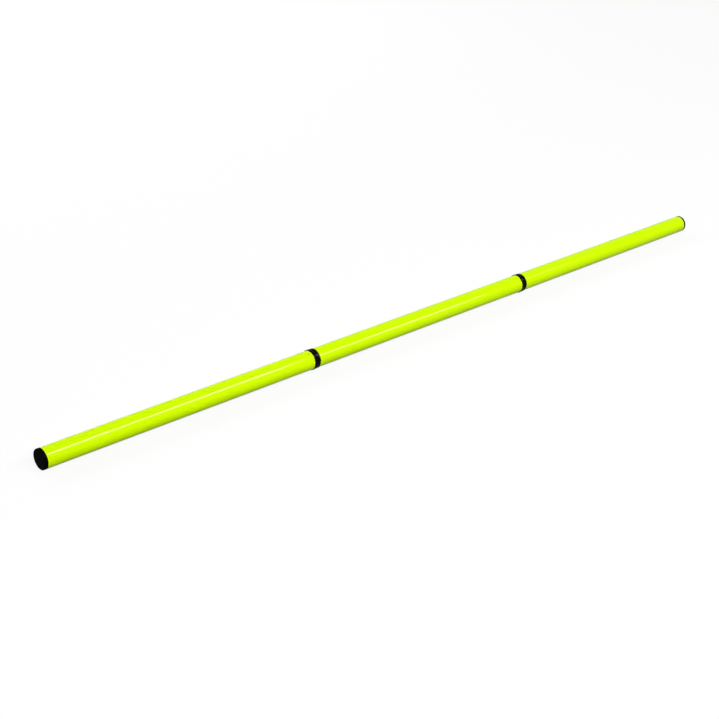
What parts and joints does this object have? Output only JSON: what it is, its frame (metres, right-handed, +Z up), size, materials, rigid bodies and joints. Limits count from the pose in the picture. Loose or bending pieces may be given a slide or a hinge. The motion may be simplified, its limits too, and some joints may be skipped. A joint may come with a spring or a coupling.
{
  "type": "weave pole",
  "caption": "Straight sectional weave pole for dog training: push-fit plastic tubes with black joint rings and flush end caps.",
  "frame": {"origin": "middle of the pole's length, straight below its axis, at the height of its lowest points, so the pole lies on z = 0", "axes": "+X along the pole from its lower (ground) end to its upper end, +Z up, +Y across"},
  "size_m": [1.504, 0.034, 0.034],
  "materials": {
    "yellow_tube": "fluorescent yellow-green extruded plastic tube, gloss",
    "black_moulding": "black injection-moulded plastic, satin"
  },
  "bodies": {
    "lower_section": {"lower_end_cap": "black_moulding", "lower_tube": "yellow_tube", "lower_joint_spigot": "black_moulding"},
    "middle_section": {"lower_joint_socket": "black_moulding", "middle_tube": "yellow_tube", "upper_joint_spigot": "black_moulding"},
    "upper_section": {"upper_joint_socket": "black_moulding", "upper_tube": "yellow_tube", "upper_end_cap": "black_moulding"}
  },
  "joints": [
    {"name": "lower_joint_pull", "type": "slide", "parent": "lower_section", "child": "middle_section", "axis": [1, 0, 0], "range_m": [0, 0.06]},
    {"name": "upper_joint_pull", "type": "slide", "parent": "middle_section", "child": "upper_section", "axis": [1, 0, 0], "range_m": [0, 0.06]}
  ]
}
